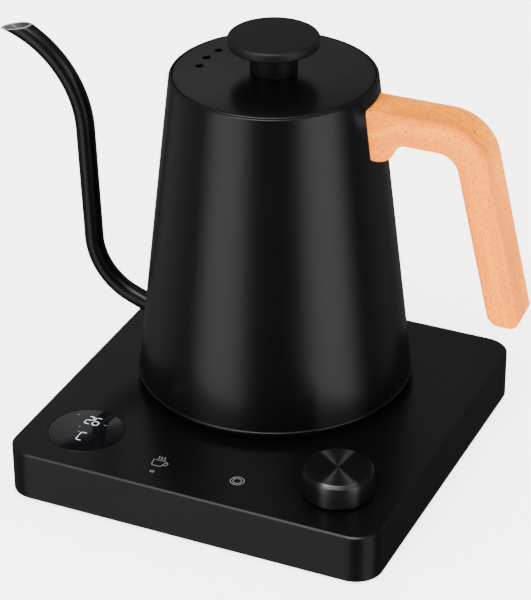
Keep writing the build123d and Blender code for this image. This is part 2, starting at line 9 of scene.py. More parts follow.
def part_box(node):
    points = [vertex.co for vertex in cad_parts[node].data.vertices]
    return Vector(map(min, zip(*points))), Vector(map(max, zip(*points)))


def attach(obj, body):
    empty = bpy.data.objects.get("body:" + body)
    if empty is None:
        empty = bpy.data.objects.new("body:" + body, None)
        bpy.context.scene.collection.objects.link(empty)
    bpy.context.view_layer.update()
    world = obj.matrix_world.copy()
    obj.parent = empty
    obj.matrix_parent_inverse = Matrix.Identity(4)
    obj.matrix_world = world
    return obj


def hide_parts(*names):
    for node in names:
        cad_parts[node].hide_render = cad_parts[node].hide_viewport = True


# Gooseneck kettle on its square heating base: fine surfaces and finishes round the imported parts.
# Shapes are worked out in millimetres and put into their meshes in metres.
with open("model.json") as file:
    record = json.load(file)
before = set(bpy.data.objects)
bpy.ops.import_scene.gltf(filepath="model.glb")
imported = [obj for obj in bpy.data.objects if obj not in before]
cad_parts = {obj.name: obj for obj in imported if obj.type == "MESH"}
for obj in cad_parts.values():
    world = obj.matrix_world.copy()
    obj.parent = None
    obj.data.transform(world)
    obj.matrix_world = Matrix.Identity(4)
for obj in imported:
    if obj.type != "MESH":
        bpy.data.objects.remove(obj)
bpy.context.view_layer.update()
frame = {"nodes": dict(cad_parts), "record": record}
mm = 0.001
full_turn = 2 * math.pi

# ---------------------------------------------------------------- places read from the frame


def box(node):
    """Lowest and highest corner of a part, in millimetres."""
    low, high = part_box(node)
    return np.array(low) / mm, np.array(high) / mm


def middle(node):
    low, high = box(node)
    return (low + high) / 2


base_low, base_high = box("base_housing")
base_top = base_high[2]
base_middle = middle("base_housing")
axis = middle("kettle_connector")[:2]
reach = middle("wooden_handle")[:2] - axis
kettle_turn = math.atan2(reach[1], reach[0])
body_low, body_high = box("kettle_body")
bottom_z, top_z = body_low[2], body_high[2]
bottom_radius = (body_high[0] - body_low[0]) / 2
trim_low, trim_high = box("trim_ring")
trim_radius = (trim_high[0] - trim_low[0]) / 2
cover_low, cover_high = box("lid_cover")
lid_radius = (cover_high[0] - cover_low[0]) / 2
ledge_z, lid_top_z = cover_low[2], cover_high[2]
grip_low, grip_high = box("lid_grip")
grip_radius = (grip_high[0] - grip_low[0]) / 2
grip_top_z = grip_high[2]
dial_low, dial_high = box("dial_knob")
dial_middle = middle("dial_knob")
dial_radius = (dial_high[0] - dial_low[0]) / 2
shaft_top_z = box("encoder_shaft")[1][2]
lens_low, lens_high = box("display_lens")
lens_middle = middle("display_lens")
lens_radius = (lens_high[0] - lens_low[0]) / 2
key_low, key_high = box("touch_electrodes")
key_radius = (key_high[1] - key_low[1]) / 2
key_y = (key_high[1] + key_low[1]) / 2
handle_low, handle_high = box("wooden_handle")

# ---------------------------------------------------------------- driving sizes of the fine shapes
# Body: a cone with a ledge for the lid and a short neck hanging below it.
top_radius = 48.1
wall = 0.8
shoulder = 0.9
mouth_radius = 43.5
ledge_radius = 46.9
neck_depth = 7.0
rim_round, ledge_round, throat_round = 0.15, 0.2, 0.35
roof_round, roof_inner_round = 0.4, 0.3
bead_depth, bead_round = 2.4, 0.74

# Lid: a shallow dome with three vents, and a grip on a stem.
lid_skin = 1.2
lid_rim_height = 2.0
lid_rim_round, lid_foot_round = 0.9, 0.12
dome_power = 1.5
vent_radius = 2.0
vent_circle = 34.5
vent_middle_angle, vent_step_angle = 173.8, 15.9
stem_radius, stem_clearance = 10.9, 0.7
cap_height = 4.8
cap_top_round, cap_under_round, cap_stem_round, stem_foot_round = 1.5, 1.2, 0.7, 0.2
grip_bore_radius, grip_bore_depth = 2.05, 10.0

# Spout: a round tube in one upright plane. A bend is its corner's distance from the kettle's axis, the
# corner's height and the bend's radius.
tube_radius = 4.6
tube_low_angle = 23.5
tube_root = 10.0
tube_elbow = (92.7, 61.7, 32.7)
tube_crook = (97.1, 185.0, 55.0)
tube_tip_angle = 9.0
tube_tip_run = 47.0
lip_run, lip_rise, lip_slope = 24.6, 4.6, 12.0
tube_sink = 0.35  # how far the tube starts inside the cone, and its skin ends below the mouth
weld_rise, weld_reach, weld_power = 0.55, 1.3, 1.4
lip_steps = ((tube_radius - 0.08, 0.1), (tube_radius - 0.28, 0.0),
             (tube_radius - wall + 0.22, 0.0), (tube_radius - wall + 0.04, 0.1))  # radius, depth below the mouth
bare_lip_and_highlight, bare_bore = 0.7, 0.16  # how far the colour goes to the bare grey, from 0 to 1; on the lip part of it is a painted highlight

# Handle: an arm that falls a little, a bend, and a leaning grip; a block meets the body under the arm.
wood_width = 21.8
wood_edge = 1.9
wood_fall = 1.8  # degrees
wood_arm = 15.0
wood_grip = 14.9
wood_reach = 101.19
wood_lean = 12.7  # degrees
wood_seat = 0.3
wood_foot_radius = 47.3
block_height = 25.2
block_x, block_top_x = 58.0, 63.0
outer_bend, outer_end = 24.0, 4.0
block_round, block_fillet, inner_bend, inner_end = 8.0, 5.0, 10.5, 7.0

# Dial: a cap with a chamfered rim over a hub that grips the encoder's shaft.
dial_chamfer = 1.5
dial_wall = 3.2
dial_hub_z = dial_low[2] + 4.0
dial_web = 1.5
hub_radius, hub_bore = 6.2, 3.05
shaft_gap = 0.1

# Window, its figures and the printed marks of the keys.
lens_crown = 0.45
lens_edge, lens_edge_round = 0.6, 0.22
print_skim = 0.05
figure_width, figure_height, figure_stroke, figure_gap = 2.9, 6.3, 0.19, 0.32
dash_half, dash_stroke = 0.6, 0.24
key_stroke = 0.16
ring_radii = (3.15, 1.95)
steam_sway, steam_low, steam_high = 0.3, 1.5, 3.9


def slope_of(degrees):
    return math.tan(math.radians(degrees))


def cone_radius(z):
    """Outer radius of the kettle body, straight from its foot to its top."""
    return bottom_radius + (top_radius - bottom_radius) * (z - bottom_z) / (top_z - bottom_z)


# ---------------------------------------------------------------- surfaces


def unit(vectors):
    return vectors / np.linalg.norm(vectors, axis=-1, keepdims=True)


def soft_line(corners, closed=True, steps=7):
    """Line through (a, b, radius) corners; each corner is an arc that touches both of its sides."""
    points = np.array([corner[:2] for corner in corners], float)
    parts = []
    for i, (_, _, radius) in enumerate(corners):
        here = points[i]
        if radius == 0 or (not closed and i in (0, len(corners) - 1)):
            parts.append(here[None])
            continue
        before = unit(points[i - 1] - here)
        after = unit(points[(i + 1) % len(corners)] - here)
        half = math.acos(np.clip(before @ after, -1, 1)) / 2
        centre = here + unit(before + after) * radius / math.sin(half)
        start = here + before * radius / math.tan(half) - centre
        end = here + after * radius / math.tan(half) - centre
        sweep = math.pi - 2 * half
        t = np.linspace(0, 1, steps)[:, None]
        parts.append(centre + (np.sin((1 - t) * sweep) * start + np.sin(t * sweep) * end) / math.sin(sweep))
    return np.concatenate(parts)


def lengths_along(line):
    """Length of a line from its start to each of its points."""
    return np.concatenate([[0], np.cumsum(np.linalg.norm(np.diff(line, axis=0), axis=1))])


def points_at(line, lengths):
    """Points of a line at the given lengths from its start."""
    along = lengths_along(line)
    return np.stack([np.interp(lengths, along, line[:, k]) for k in range(line.shape[1])], 1)


def resampled(line, count):
    """The same line with points spaced evenly along its length."""
    return points_at(line, np.linspace(0, lengths_along(line)[-1], count))


def left_of(line):
    """Side normals of a line in a plane, pointing to its left."""
    along = unit(np.gradient(line, axis=0))
    return np.stack([-along[:, 1], along[:, 0]], 1)


def turned(profile, segments=192):
    """Surface of revolution: (radius, height) goes to (radius cos t, radius sin t, height)."""
    t = np.linspace(0, full_turn, segments, endpoint=False)[:, None]
    radius, height = profile[None, :, 0], profile[None, :, 1]
    return np.stack([radius * np.cos(t), radius * np.sin(t), height + 0 * t], -1)


def grid_faces(rows, columns, close_rows, close_columns):
    """Four-sided faces between neighbours of a grid of points."""
    i = np.arange(rows if close_rows else rows - 1)[:, None]
    j = np.arange(columns if close_columns else columns - 1)[None]
    i2, j2 = (i + 1) % rows, (j + 1) % columns
    corners = [i * columns + j, i2 * columns + j, i2 * columns + j2, i * columns + j2]
    return np.stack(corners, -1).reshape(-1, 4)


def settled(mesh, sharp):
    """Joins doubled points, turns the faces outwards and smooths all but the sharp edges."""
    work = bmesh.new()
    work.from_mesh(mesh)
    bmesh.ops.remove_doubles(work, verts=work.verts, dist=2e-7)
    bmesh.ops.dissolve_degenerate(work, dist=1e-7, edges=work.edges)
    bmesh.ops.recalc_face_normals(work, faces=work.faces)
    if work.calc_volume(signed=True) < 0:
        bmesh.ops.reverse_faces(work, faces=work.faces)
    work.to_mesh(mesh)
    work.free()
    mesh.shade_smooth()
    mesh.set_sharp_from_angle(angle=math.radians(sharp))


def piece(name, grids, finish=None, about=(0, 0), turn=0.0, marks=None, sharp=32):
    """New object from grids of millimetre points, turned and moved to its axis.

    Each grid comes with whether its rows and its columns close; marks are values carried by the points."""
    c, s = math.cos(turn), math.sin(turn)
    points, faces, first = [], [], 0
    for grid, close_rows, close_columns in grids:
        flat = grid.reshape(-1, 3)
        x, y, z = flat.T
        points.append(np.stack([about[0] + c * x - s * y, about[1] + s * x + c * y, z], 1) * mm)
        faces.append(grid_faces(*grid.shape[:2], close_rows, close_columns) + first)
        first += len(flat)
    mesh = bpy.data.meshes.new(name)
    mesh.from_pydata(np.concatenate(points), [], np.concatenate(faces).tolist())
    for key, values in (marks or {}).items():
        kind, slot = ("FLOAT_VECTOR", "vector") if values.ndim == 2 else ("FLOAT", "value")
        layer = mesh.attributes.new(key, kind, "POINT")
        layer.data.foreach_set(slot, values.astype(np.float32).ravel())
    settled(mesh, sharp)
    made = bpy.data.objects.new(name, mesh)
    bpy.context.scene.collection.objects.link(made)
    if finish:
        mesh.materials.append(finish)
    return made


def cut(made, cutters, sharp=32):
    """Takes the cutters out of a piece, for good."""
    for cutter in cutters:
        change = made.modifiers.new("cut", "BOOLEAN")
        change.operation = "DIFFERENCE"
        change.solver = "EXACT"
        change.object = cutter
    bpy.context.view_layer.update()
    shape = made.evaluated_get(bpy.context.evaluated_depsgraph_get())
    mesh = bpy.data.meshes.new_from_object(shape)
    made.modifiers.clear()
    made.data = mesh
    for cutter in cutters:
        bpy.data.objects.remove(cutter)
    mesh.shade_smooth()
    mesh.set_sharp_from_angle(angle=math.radians(sharp))


def ribbons(name, lines, half_width, height, finish, about, crown=None):
    """Thin raised prints: each line is a flat bar, its ends drawn in to a point on its middle.

    They lie at one height, or on the crowned face of the window."""
    grids = []
    for line, closed in lines:
        ahead = np.roll(line, -1, 0) - line if closed else np.gradient(line, axis=0)
        behind = line - np.roll(line, 1, 0) if closed else ahead
        along = unit(unit(ahead) + unit(behind))
        side = np.stack([-along[:, 1], along[:, 0]], 1) * half_width
        left, right = line + side, line - side
        level = crown(np.linalg.norm(line, axis=1), height) if crown else np.full(len(line), height)
        edges = ((left, print_skim), (right, print_skim), (right, -print_skim), (left, -print_skim))
        grid = np.stack([np.column_stack([edge, level + lift]) for edge, lift in edges], 1)
        if not closed:
            ends = [np.repeat(grid[k].mean(0)[None, None], len(edges), 1) for k in (0, -1)]
            grid = np.concatenate([ends[0], grid, ends[1]])
        grids.append((grid, closed, True))
    return piece(name, grids, finish, about, sharp=30)


# ---------------------------------------------------------------- finishes


class Number:
    """A number socket that works in Python sums."""

    def __init__(self, finish, socket):
        self.finish, self.socket = finish, socket

    def __add__(self, other):
        return self.finish.maths("ADD", self, other)

    def __sub__(self, other):
        return self.finish.maths("SUBTRACT", self, other)

    def __rsub__(self, other):
        return self.finish.maths("SUBTRACT", other, self)

    def __mul__(self, other):
        return self.finish.maths("MULTIPLY", self, other)

    def __truediv__(self, other):
        return self.finish.maths("DIVIDE", self, other)

    __radd__ = __add__
    __rmul__ = __mul__


class Finish:
    """One material, or the sky when a tree is given: its shader and the nodes that vary it."""

    def __init__(self, name, colour=None, roughness=None, tree=None, **fixed):
        if tree:
            self.tree = tree
            return
        self.material = bpy.data.materials.new(name)
        self.material.use_nodes = True
        self.tree = self.material.node_tree
        self.shader = self.tree.nodes["Principled BSDF"]
        self.shader.inputs["Base Color"].default_value = (*colour, 1)
        self.shader.inputs["Roughness"].default_value = roughness
        for key, value in fixed.items():
            self.shader.inputs[key.replace("_", " ")].default_value = value

    def node(self, kind, settings=None, **inputs):
        """A node of a type, with its settings set first and then its sockets' values or links.

        A socket is given by its name, or by its number after an underscore."""
        made = self.tree.nodes.new(kind)
        for key, value in (settings or {}).items():
            setattr(made, key, value)
        for key, value in inputs.items():
            self.put(made.inputs[int(key[1:]) if key[1:].isdigit() else key.replace("_", " ")], value)
        return made

    def put(self, socket, value):
        if isinstance(value, Number):
            value = value.socket
        if isinstance(value, bpy.types.NodeSocket):
            self.tree.links.new(value, socket)
        else:
            socket.default_value = value

    def feed(self, name, value):
        """Gives one of the shader's sockets a value or a link."""
        self.put(self.shader.inputs[name], value)

    def maths(self, operation, *values):
        made = self.node("ShaderNodeMath", {"operation": operation})
        for socket, value in zip(made.inputs, values):
            self.put(socket, value)
        return Number(self, made.outputs[0])

    def place(self):
        return self.node("ShaderNodeTexCoord").outputs["Object"]

    def carried(self, name, output="Vector"):
        return self.node("ShaderNodeAttribute", {"attribute_name": name}).outputs[output]

    def stretched(self, vector, scale, origin=(0, 0, 0)):
        """The vector measured from an origin and stretched along its axes."""
        moved = self.node("ShaderNodeVectorMath", {"operation": "SUBTRACT"}, _0=vector, _1=origin)
        grown = self.node("ShaderNodeVectorMath", {"operation": "MULTIPLY"}, _0=moved.outputs[0], _1=scale)
        return grown.outputs[0]

    def noise(self, vector, detail=2.0):
        made = self.node("ShaderNodeTexNoise", Vector=vector, Scale=1.0, Detail=detail)
        return Number(self, made.outputs[0])

    def step(self, value, low, high, at_low=0.0, at_high=1.0):
        """Smooth change from one number to another as a value rises."""
        made = self.node("ShaderNodeMapRange", {"interpolation_type": "SMOOTHSTEP"}, Value=value,
                         From_Min=low, From_Max=high, To_Min=at_low, To_Max=at_high)
        return Number(self, made.outputs[0])

    def bell(self, distance, power=2):
        """Falls from 1 to 0 as a distance grows: e to minus the distance squared, or to its fourth power."""
        square = distance * distance
        return self.maths("EXPONENT", 0 - (square if power == 2 else square * square))

    def blend(self, share, first, second):
        """Colour between two colours."""
        made = self.node("ShaderNodeMix", {"data_type": "RGBA", "blend_type": "MIX"}, _0=share)
        for index, value in ((6, first), (7, second)):
            self.put(made.inputs[index], value if not isinstance(value, tuple) else (*value, 1))
        return made.outputs[2]

    def bump(self, height, depth):
        made = self.node("ShaderNodeBump", Strength=1.0, Distance=depth, Height=height)
        self.feed("Normal", made.outputs[0])


def toned(colour, share):
    """The same colour, darker or lighter."""
    return tuple(min(1, share * c) for c in colour)


def coat(name, tone, roughness, grain, depth, spread, bore=None, **fixed):
    """Satin or matt coat: fine rippled skin, with softer and glossier patches a few centimetres across.

    Where a piece carries an "inside" mark its bare bore shows instead."""
    made = Finish(name, tone, roughness, **fixed)
    skin = made.noise(made.stretched(made.place(), (grain,) * 3), 3)
    cloud = made.noise(made.stretched(made.place(), (cloud_scale,) * 3), 2)
    made.feed("Roughness", roughness + spread * (cloud - 0.5) + 0.4 * spread * (skin - 0.5))
    shade = made.blend(cloud, toned(tone, 0.9), toned(tone, 1.1))
    if bore:
        shade = made.blend(Number(made, made.carried("inside", "Fac")), shade, bore)
    made.feed("Base Color", shade)
    made.bump(skin, depth)
    return made.material


def metal(name, tone, roughness, stretch, depth=2e-6):
    """Bare metal with fine drawn lines."""
    made = Finish(name, tone, roughness, Metallic=1.0)
    lines = made.noise(made.stretched(made.place(), stretch), 3)
    made.feed("Roughness", roughness + 0.25 * (lines - 0.5))
    made.feed("Base Color", made.blend(lines, toned(tone, 0.82), toned(tone, 1.12)))
    made.bump(lines, depth)
    return made.material


def oiled_beech():
    """Growth lines run with the handle and short dark rays lie along them."""
    made = Finish("oiled_beech", wood_light, 0.5, Specular_IOR_Level=0.08)
    grain = made.carried("grain")
    rings = made.noise(made.stretched(grain, (9, 150, 60)), 3)
    fibre = made.noise(made.stretched(grain, (90, 2600, 2600)), 2)
    cloud = made.noise(made.stretched(grain, (16, 40, 40)), 2)
    ray = made.noise(made.stretched(grain, (420, 2300, 2300)), 1)
    ringed = made.blend(made.step(rings, 0.36, 0.66), wood_dark, wood_light)
    shaded = made.blend(made.step(cloud, 0.3, 0.75, 0.0, 0.22), ringed, wood_deep)
    rays = made.step(ray, 0.57, 0.66, 0.0, 0.8)
    made.feed("Base Color", made.blend(rays, shaded, wood_ray))
    made.feed("Roughness", 0.46 + 0.16 * fibre)
    made.bump(0.6 * fibre + 0.4 * (1 - rays), 2.2e-5)
    return made.material


def spun_metal(name, tone, roughness, centre, half_height):
    """Black anodised face turned on a lathe: fine rings round the middle, and a painted highlight: a soft bow
    tie of lighter tone in the base colour, where the brushed face's glints fall.

    The bow tie's four arms lie where the cosine of the bearing from its middle line is painted_highlight_arm."""
    made = Finish(name, tone, roughness, Metallic=0.85)
    offset = made.stretched(made.place(), (1, 1, 1), centre)
    parts = made.node("ShaderNodeSeparateXYZ", _0=offset)
    x, y, z = (Number(made, socket) for socket in parts.outputs)
    radius = made.maths("SQRT", x * x + y * y)
    angle = made.maths("ARCTAN2", y, x)
    spot = made.node("ShaderNodeCombineXYZ", _0=radius * 9000, _1=angle * 0.6).outputs[0]
    rings = made.noise(spot, 1)
    from_line = made.maths("ABSOLUTE", made.maths("COSINE", angle - painted_highlight_bearing))
    on_top = made.step(z, half_height - 3e-4, half_height - 1e-4)
    # Painted highlight: the bow tie lightens the base colour, fully on the top face and partly on the side.
    painted_highlight = made.bell((from_line - painted_highlight_arm) / painted_highlight_breadth) * (painted_highlight_on_side + (1 - painted_highlight_on_side) * on_top)
    made.feed("Base Color", made.blend(painted_highlight, tone, toned(tone, painted_highlight_gain)))
    made.feed("Roughness", roughness + 0.22 * (rings - 0.5))
    made.bump(rings, 9e-6)
    return made.material


cloud_scale = 38
# Painted highlight on the dial: the bearing of its middle line, its arms, their breadth, how much lighter it is,
# and its share on the side.
painted_highlight_bearing, painted_highlight_arm, painted_highlight_breadth = math.radians(-65.4), 0.91, 0.06
painted_highlight_gain, painted_highlight_on_side = 7.0, 0.45
wood_light = (1.0, 0.29, 0.0)
wood_dark = (0.84, 0.2, 0.001)
wood_deep = (0.7, 0.15, 0.002)
wood_ray = (0.42, 0.09, 0.001)
black = (0.0016, 0.0016, 0.0017)
plastic_black = (0.0018, 0.0018, 0.0019)
lens_black = (0.003, 0.003, 0.004)
anodised_black = (0.021, 0.021, 0.022)
steel_grey = (0.6, 0.6, 0.61)
zinc_grey = (0.52, 0.53, 0.55)
brass_yellow = (0.78, 0.57, 0.24)
bare_tube = (0.3, 0.3, 0.31)
finishes = {
    "satin_black_shell": coat("satin_black_shell", black, roughness=0.3, grain=2600, depth=2.5e-6, spread=0.06,
                              Specular_IOR_Level=0.5),
    "satin_black_steel": coat("satin_black_steel", black, roughness=0.26, grain=1900, depth=4e-6, spread=0.05,
                              bore=bare_tube, Specular_IOR_Level=0.5),
    "black_plastic": coat("black_plastic", plastic_black, roughness=0.48, grain=3200, depth=4e-6, spread=0.08),
    "gloss_lens": coat("gloss_lens", lens_black, roughness=0.05, grain=300, depth=5e-7, spread=0.02),
    "brushed_dial": spun_metal("brushed_dial", anodised_black, 0.27, tuple(dial_middle * mm),
                               (dial_high[2] - dial_low[2]) / 2 * mm),
    "beech": oiled_beech(),
    "bare_steel": metal("bare_steel", steel_grey, roughness=0.3, stretch=(300, 300, 5000)),
    "zinc_steel": metal("zinc_steel", zinc_grey, roughness=0.36, stretch=(1600, 1600, 1600), depth=4e-6),
    "brass_contact": metal("brass_contact", brass_yellow, roughness=0.28, stretch=(2400, 2400, 600)),
    "silicone": coat("silicone", (0.22, 0.22, 0.23), roughness=0.55, grain=1500, depth=8e-6, spread=0.08),
    "black_rubber": coat("black_rubber", (0.012, 0.012, 0.012), roughness=0.75, grain=2200, depth=1.6e-5,
                         spread=0.08),
    "board_green": coat("board_green", (0.02, 0.12, 0.055), roughness=0.35, grain=1400, depth=1e-5,
                        spread=0.1),
    "component_grey": coat("component_grey", (0.09, 0.09, 0.1), roughness=0.5, grain=900, depth=1.2e-5,
                           spread=0.12),
    "display_black": coat("display_black", (0.01, 0.01, 0.013), roughness=0.3, grain=800, depth=3e-6,
                          spread=0.05),
}
for entry in frame["record"]["subparts"]:
    held = frame["nodes"][entry["node"]]
    held.data.materials.clear()
    held.data.materials.append(finishes[entry["material_slot"]])


def stands_for(made, body, node, slot_name):
    """The new piece rides on a body and takes a part's place and finish."""
    made.data.materials.clear()
    made.data.materials.append(finishes[slot_name])
    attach(made, body)
    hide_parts(node)
    return made


# ---------------------------------------------------------------- spout


def tube_line(count=1400):
    """Middle line of the tube in its upright plane: two straight runs and a tip, joined by two bends."""
    low_x = bottom_radius - tube_root
    low_z = tube_elbow[1] - (tube_elbow[0] - low_x) * slope_of(tube_low_angle)
    tip = math.radians(tube_tip_angle)
    corners = [(low_x, low_z, 0), tube_elbow, tube_crook,
               (tube_crook[0] + tube_tip_run * math.cos(tip), tube_crook[1] + tube_tip_run * math.sin(tip), 0)]
    return resampled(soft_line(corners, closed=False, steps=90), count)


def tube_side(line, radius, angles):
    """Lines along the tube's skin, one for each angle a round it.

    A skin point is its middle point, plus radius cos a along the line's normal in the upright plane, plus
    radius sin a across it. The spout points to the kettle's -x."""
    normal = left_of(line)
    c, s = np.cos(angles)[:, None], np.sin(angles)[:, None]
    x = line[None, :, 0] + radius * c * normal[None, :, 0]
    z = line[None, :, 1] + radius * c * normal[None, :, 1]
    return np.stack([-x, -radius * s + 0 * x, z], -1)


def mouth_index(side, sink):
    """Where each skin line first passes the sloping mouth, lowered by a sink."""
    count = side.shape[1]
    out = -side[..., 0] - tube_crook[0] - lip_run
    over = side[..., 2] - (tube_crook[1] + lip_rise - sink - slope_of(lip_slope) * out)
    upper_part = np.arange(count) > 0.7 * count
    past = (over > 0) & upper_part
    return np.where(past.any(1), past.argmax(1), count - 1)


def foot_index(side):
    """Where each skin line comes out of the body's cone."""
    outside = np.hypot(side[..., 0], side[..., 1]) > cone_radius(side[..., 2]) - tube_sink
    return outside.argmax(1)


def at_index(side, index):
    """Points of skin lines at fractional places along them."""
    places = np.arange(side.shape[1])
    lines = zip(index, side)
    return np.stack([np.stack([np.interp(place, places, line[:, k]) for k in range(3)], -1)
                     for place, line in lines], 0)


def tube_piece(stations=150, around=72):
    """Skin lines from the body's cone to the sloping mouth, over the lip and back down the bore.

    At the foot the skin flares by weld_rise e^-(d/weld_reach)^weld_power, d being the way up from the cone."""
    line = tube_line()
    angles = np.linspace(0, full_turn, around, endpoint=False)
    share = np.linspace(0, 1, stations)
    skin = tube_side(line, tube_radius, angles)
    start, end = foot_index(skin), mouth_index(skin, tube_sink)
    index = start[:, None] + (end - start)[:, None] * share
    outer = at_index(skin, index)
    places = np.arange(len(line))
    centre_x, centre_z = np.interp(index, places, -line[:, 0]), np.interp(index, places, line[:, 1])
    centre = np.stack([centre_x, 0 * index, centre_z], -1)
    away = np.cumsum(np.linalg.norm(np.diff(outer, axis=1, prepend=outer[:, :1]), axis=-1), 1)
    flare = 1 + (weld_rise / tube_radius) * np.exp(-(away / weld_reach) ** weld_power)
    outer = centre + (outer - centre) * flare[..., None]
    lip = []
    for radius, sink in lip_steps:
        side = tube_side(line, radius, angles)
        lip.append(side[np.arange(around), mouth_index(side, sink)][:, None])
    bore = tube_side(line, tube_radius - wall, angles)
    start, end = foot_index(bore), mouth_index(bore, tube_sink)
    inner = at_index(bore, start[:, None] + (end - start)[:, None] * share[::-1])
    grid = np.concatenate([outer, *lip, inner], 1)
    # The lip takes the lighter grey, partly bare steel and partly a painted highlight; the bore takes a darker
    # share.
    inside = np.zeros(grid.shape[:2])
    inside[:, stations:-stations] = bare_lip_and_highlight
    inside[:, -stations:] = bare_bore
    return piece("spout", [(grid, True, True)], about=axis, turn=kettle_turn,
                 marks={"inside": inside.ravel()}, sharp=50)


stands_for(tube_piece(), "kettle", "spout_tube", "satin_black_steel")

# ---------------------------------------------------------------- body and bead


def spout_drill(around=48, stations=60, drilled=26):
    """The tube's bore, closed at both ends, through the body's wall."""
    angles = np.linspace(0, full_turn, around, endpoint=False)
    side = tube_side(tube_line(stations), tube_radius - wall, angles)[:, :drilled]
    ends = [np.repeat(side[:, k].mean(0)[None, None], around, 0) for k in (0, -1)]
    grid = np.concatenate([ends[0], side, ends[1]], 1)
    return piece("drill", [(grid, True, False)], about=axis, turn=kettle_turn)


def body_piece():
    """Turned section: up the cone, over the shoulder, down to the lid's ledge, round the neck, down inside."""
    roof_z = ledge_z - wall
    neck_z = ledge_z - neck_depth
    section = soft_line([
        (bottom_radius, bottom_z, 0), (top_radius, top_z, shoulder), (ledge_radius, top_z, rim_round),
        (ledge_radius, ledge_z, ledge_round), (mouth_radius, ledge_z, throat_round), (mouth_radius, neck_z, 0),
        (mouth_radius + wall, neck_z, 0), (mouth_radius + wall, roof_z, roof_round),
        (cone_radius(roof_z) - wall, roof_z, roof_inner_round), (bottom_radius - wall, bottom_z, 0)])
    made = piece("body_shell", [(turned(section, 256), True, True)], about=axis)
    cut(made, [spout_drill()])
    return made


def bead_piece():
    """Ring at the body's foot, its outer edges rounded into each other."""
    inner = bottom_radius - bead_depth
    section = soft_line([(inner, trim_low[2], 0), (trim_radius, trim_low[2], bead_round),
                         (trim_radius, trim_high[2], bead_round), (inner, trim_high[2], 0)])
    return piece("bead", [(turned(section, 256), True, True)], about=axis)


stands_for(body_piece(), "kettle", "kettle_body", "satin_black_steel")
stands_for(bead_piece(), "kettle", "trim_ring", "satin_black_steel")

# ---------------------------------------------------------------- lid and grip


def dome_section():
    """Shallow dome: height falls with the dome_power of the way out from the seat to the rounded rim."""
    seat = stem_radius + stem_clearance
    way = np.linspace(0, 1, 24)[:, None]
    out = seat + (lid_radius - lid_skin - seat) * way
    drop = (lid_top_z - ledge_z - lid_rim_height) * way ** dome_power
    dome = np.concatenate([out, lid_top_z - drop], 1)
    dome_end = dome[-1, 1]
    rim_run, rim_rise, rim_drop = 1.3, 0.02, 0.06
    rim = soft_line([(lid_radius - rim_run, dome_end + rim_rise, 0),
                     (lid_radius, dome_end - rim_drop, lid_rim_round),
                     (lid_radius, ledge_z, lid_foot_round), (lid_radius - lid_skin, ledge_z, 0)],
                    closed=False)[1:]
    under = dome[::-1] - (0, lid_skin)
    bore = box("lid_screw")[1][0] - middle("lid_screw")[0]
    return np.concatenate([[(bore, lid_top_z)], dome[:-1], rim, under[1:], [(bore, lid_top_z - lid_skin)]])


def vent_drill(number):
    """Round cutter for one of the three vents, side by side on one circle."""
    angle = math.radians(vent_middle_angle + (number - 1) * vent_step_angle)
    at = vent_circle * np.array([math.cos(angle), math.sin(angle), 0])
    low, high = ledge_z - 1, lid_top_z + 2
    section = np.array([(0, low), (vent_radius, low), (vent_radius, high), (0, high)])
    grid = turned(section, 40) + at
    return piece(f"vent_drill_{number}", [(grid, True, False)], about=axis, turn=kettle_turn)


def lid_piece():
    made = piece("lid_dome", [(turned(dome_section(), 256), True, True)], about=axis)
    cut(made, [vent_drill(number) for number in range(3)])
    return made


def grip_piece():
    """Turned knob: blind bore from below, straight stem, and a flat cap with rounded edges."""
    cap_z = grip_top_z - cap_height
    bore_z = lid_top_z + grip_bore_depth
    section = soft_line([
        (0, bore_z, 0), (grip_bore_radius, bore_z, 0), (grip_bore_radius, lid_top_z, 0),
        (stem_radius, lid_top_z, stem_foot_round), (stem_radius, cap_z, cap_stem_round),
        (grip_radius, cap_z, cap_under_round), (grip_radius, grip_top_z, cap_top_round), (0, grip_top_z, 0)],
        closed=False, steps=9)
    return piece("lid_grip_cap", [(turned(section, 192), True, False)], about=axis)


stands_for(lid_piece(), "lid", "lid_cover", "satin_black_steel")
stands_for(grip_piece(), "lid", "lid_grip", "black_plastic")

# ---------------------------------------------------------------- handle
lean = slope_of(wood_lean)
fall = slope_of(wood_fall)
wood_top_z = handle_high[2] - fall * (top_radius - wood_foot_radius)
end_z = handle_low[2]


def arm_top(x):
    """Height of the arm's upper side."""
    return wood_top_z - fall * (x - top_radius)


def low_x(x, z):
    """Where a side of the grip is at its end, if it is at x at height z."""
    return x + lean * (z - end_z)


inner_x = wood_reach - wood_grip / math.cos(math.radians(wood_lean)) + lean * wood_arm
inner_z = arm_top(inner_x) - wood_arm
block_z = wood_top_z - block_height
outer_end_x = low_x(wood_reach, arm_top(wood_reach))
inner_end_x = low_x(inner_x, inner_z)
end_x = (outer_end_x + inner_end_x) / 2


